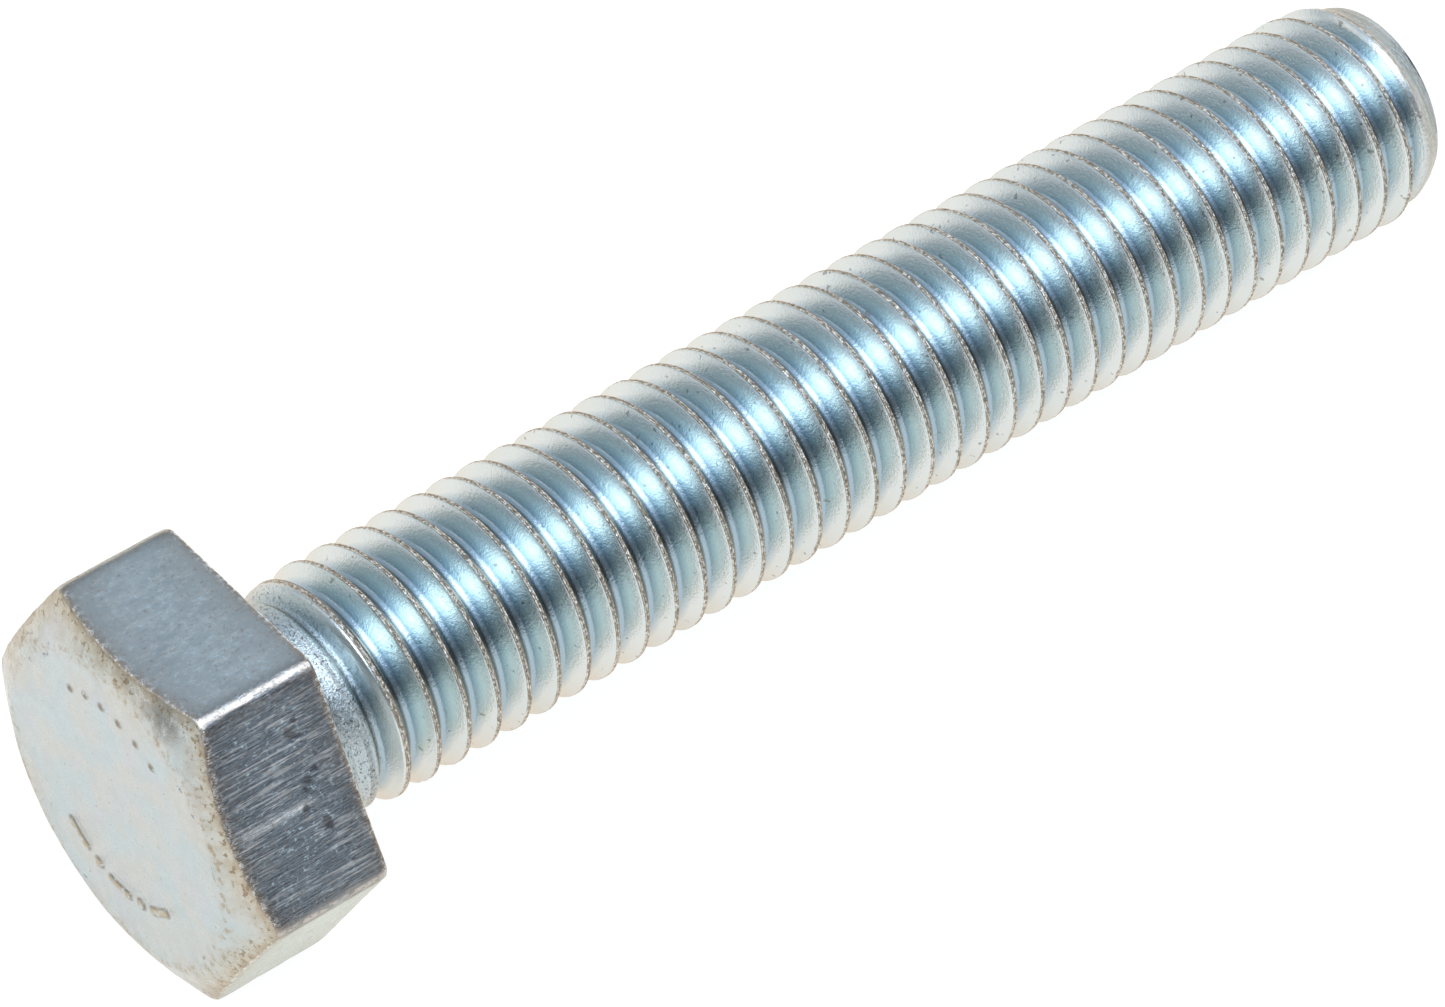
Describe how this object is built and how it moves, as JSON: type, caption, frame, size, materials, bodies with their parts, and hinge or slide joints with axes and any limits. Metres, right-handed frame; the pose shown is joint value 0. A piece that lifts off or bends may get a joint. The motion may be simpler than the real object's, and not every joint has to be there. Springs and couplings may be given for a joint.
{
  "type": "hex bolt",
  "caption": "Hexagon-head bolt with a metric thread rolled up to the head, bright zinc plated, with a chamfered tip and plain raised marks on the head.",
  "frame": {"origin": "centre of the bearing face, the flat underside of the head, on the thread's axis", "axes": "+X along the thread's axis from the head to the tip; +Z out of one wrench flat, so two opposite corners of the head lie along Y"},
  "size_m": [0.078, 0.0214, 0.0188],
  "materials": {
    "zinc_plated_steel": "blue-white zinc plating on steel: glossy on the rolled thread, satin with brown staining on the forged head"
  },
  "bodies": {
    "root": {"hex_bolt": "zinc_plated_steel"}
  },
  "joints": []
}
